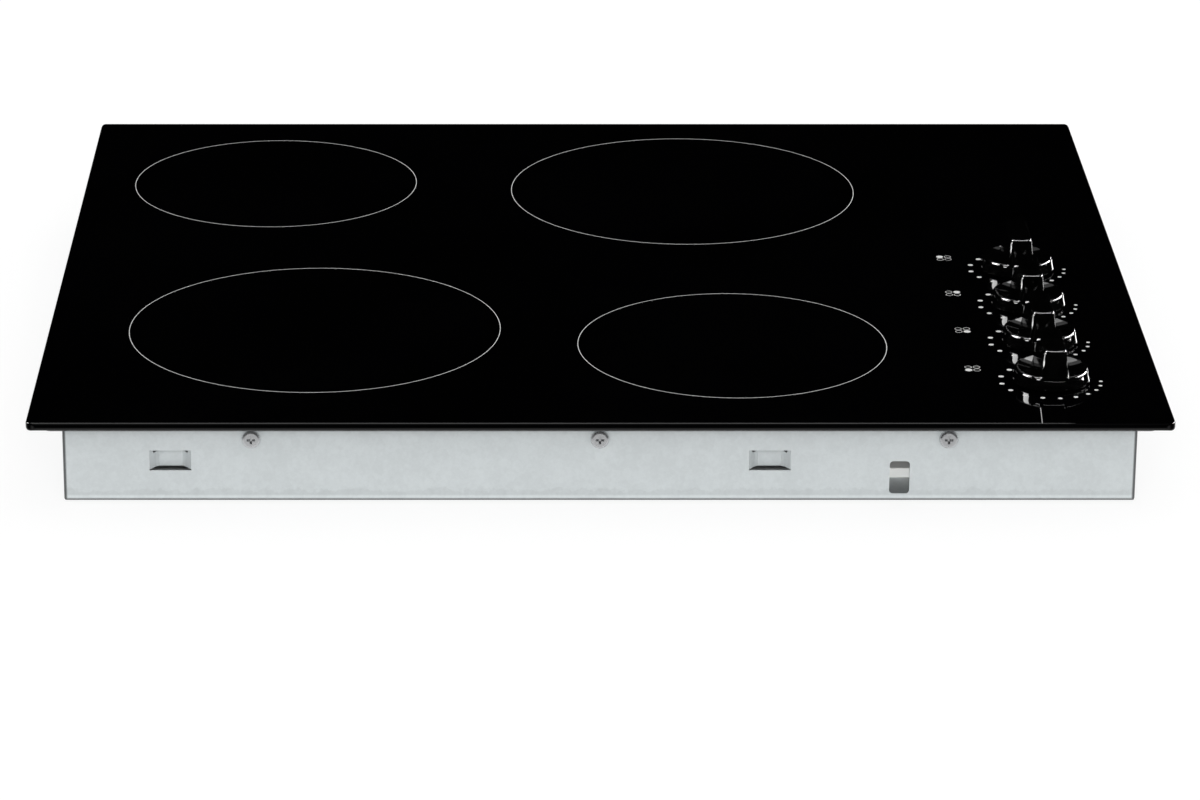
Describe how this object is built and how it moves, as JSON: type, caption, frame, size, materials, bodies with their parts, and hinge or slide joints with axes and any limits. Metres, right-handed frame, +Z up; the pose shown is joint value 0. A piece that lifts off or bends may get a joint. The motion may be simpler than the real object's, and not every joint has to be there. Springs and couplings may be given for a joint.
{
  "type": "electric induction cooktop",
  "caption": "Built-in black glass induction cooktop with a row of turning knobs at one side, a shallow steel case, coils, cooling fans and power electronics.",
  "frame": {"origin": "on the underside of the steel case, below the middle of the glass", "axes": "+X towards the knob side, +Y to the back, +Z up out of the glass"},
  "size_m": [0.59, 0.52, 0.0722],
  "materials": {
    "glass_ceramic": "polished black glass ceramic",
    "seal_foam": "closed-cell black foam",
    "silicone": "black silicone adhesive",
    "galvanised_steel": "galvanised sheet, satin",
    "screw_steel": "bright zinc plating",
    "tray_aluminium": "mill finish",
    "carrier_plastic": "glass-filled black plastic",
    "litz_copper": "enamelled stranded copper",
    "ferrite": "sintered, matt dark grey",
    "mica": "pressed mica sheet",
    "sensor_ceramic": "unglazed",
    "spring_steel": "plain wire",
    "tray_plastic": "light grey moulded plastic",
    "circuit_board": "green solder mask",
    "board_parts": "moulded black cases",
    "filter_parts": "yellow cases and enamelled windings",
    "fan_plastic": "black moulded plastic",
    "gland_plastic": "black moulded plastic",
    "terminal_plastic": "cream moulded plastic",
    "switch_plastic": "dark grey moulded plastic",
    "bush_rubber": "black silicone rubber",
    "spindle_metal": "zinc plated",
    "knob_plastic": "polished black plastic"
  },
  "bodies": {
    "root": {"glass_top": "glass_ceramic", "worktop_seal": "seal_foam", "glass_adhesive": "silicone", "glass_frame": "galvanised_steel", "case_pan": "galvanised_steel", "case_screws": "screw_steel", "cable_gland": "gland_plastic", "gland_locknut": "gland_plastic", "terminal_block": "terminal_plastic", "coil_tray": "tray_aluminium", "tray_posts": "screw_steel", "tray_screws": "screw_steel", "coil_carrier_back_left": "carrier_plastic", "coil_carrier_back_right": "carrier_plastic", "coil_carrier_front_left": "carrier_plastic", "coil_carrier_front_right": "carrier_plastic", "coil_winding_back_left": "litz_copper", "coil_winding_back_right": "litz_copper", "coil_winding_front_left": "litz_copper", "coil_winding_front_right": "litz_copper", "ferrites_back_left": "ferrite", "ferrites_back_right": "ferrite", "ferrites_front_left": "ferrite", "ferrites_front_right": "ferrite", "insulator_back_left": "mica", "insulator_back_right": "mica", "insulator_front_left": "mica", "insulator_front_right": "mica", "sensor_back_left": "sensor_ceramic", "sensor_back_right": "sensor_ceramic", "sensor_front_left": "sensor_ceramic", "sensor_front_right": "sensor_ceramic", "coil_springs": "spring_steel", "electronics_tray": "tray_plastic", "power_board_left": "circuit_board", "power_board_right": "circuit_board", "heat_sink_left": "tray_aluminium", "heat_sink_right": "tray_aluminium", "power_parts_left": "board_parts", "power_parts_right": "board_parts", "filter_board": "circuit_board", "filter_parts": "filter_parts", "fan_housing_left": "fan_plastic", "fan_housing_right": "fan_plastic", "fan_covers": "fan_plastic", "control_bracket": "galvanised_steel", "control_board": "circuit_board", "rotary_switches": "switch_plastic", "switch_nuts": "screw_steel", "spindle_bushes": "bush_rubber"},
    "knob_1": {"spindle_1": "spindle_metal", "knob_1": "knob_plastic"},
    "knob_2": {"spindle_2": "spindle_metal", "knob_2": "knob_plastic"},
    "knob_3": {"spindle_3": "spindle_metal", "knob_3": "knob_plastic"},
    "knob_4": {"spindle_4": "spindle_metal", "knob_4": "knob_plastic"},
    "fan_left": {"fan_rotor_left": "fan_plastic"},
    "fan_right": {"fan_rotor_right": "fan_plastic"}
  },
  "joints": [
    {"name": "knob_1_turn", "type": "hinge", "parent": "root", "child": "knob_1", "pos_m": [0.237, -0.1959, 0.049], "axis": [0, 0, -1], "range_deg": [0, 310]},
    {"name": "knob_2_turn", "type": "hinge", "parent": "root", "child": "knob_2", "pos_m": [0.237, -0.1355, 0.049], "axis": [0, 0, -1], "range_deg": [0, 310]},
    {"name": "knob_3_turn", "type": "hinge", "parent": "root", "child": "knob_3", "pos_m": [0.237, -0.0751, 0.049], "axis": [0, 0, -1], "range_deg": [0, 310]},
    {"name": "knob_4_turn", "type": "hinge", "parent": "root", "child": "knob_4", "pos_m": [0.237, -0.0147, 0.049], "axis": [0, 0, -1], "range_deg": [0, 310]},
    {"name": "fan_left_spin", "type": "hinge", "parent": "root", "child": "fan_left", "pos_m": [-0.2, 0.165, 0.0104], "axis": [0, 0, 1], "continuous": true},
    {"name": "fan_right_spin", "type": "hinge", "parent": "root", "child": "fan_right", "pos_m": [0.06, 0.165, 0.0104], "axis": [0, 0, 1], "continuous": true}
  ]
}
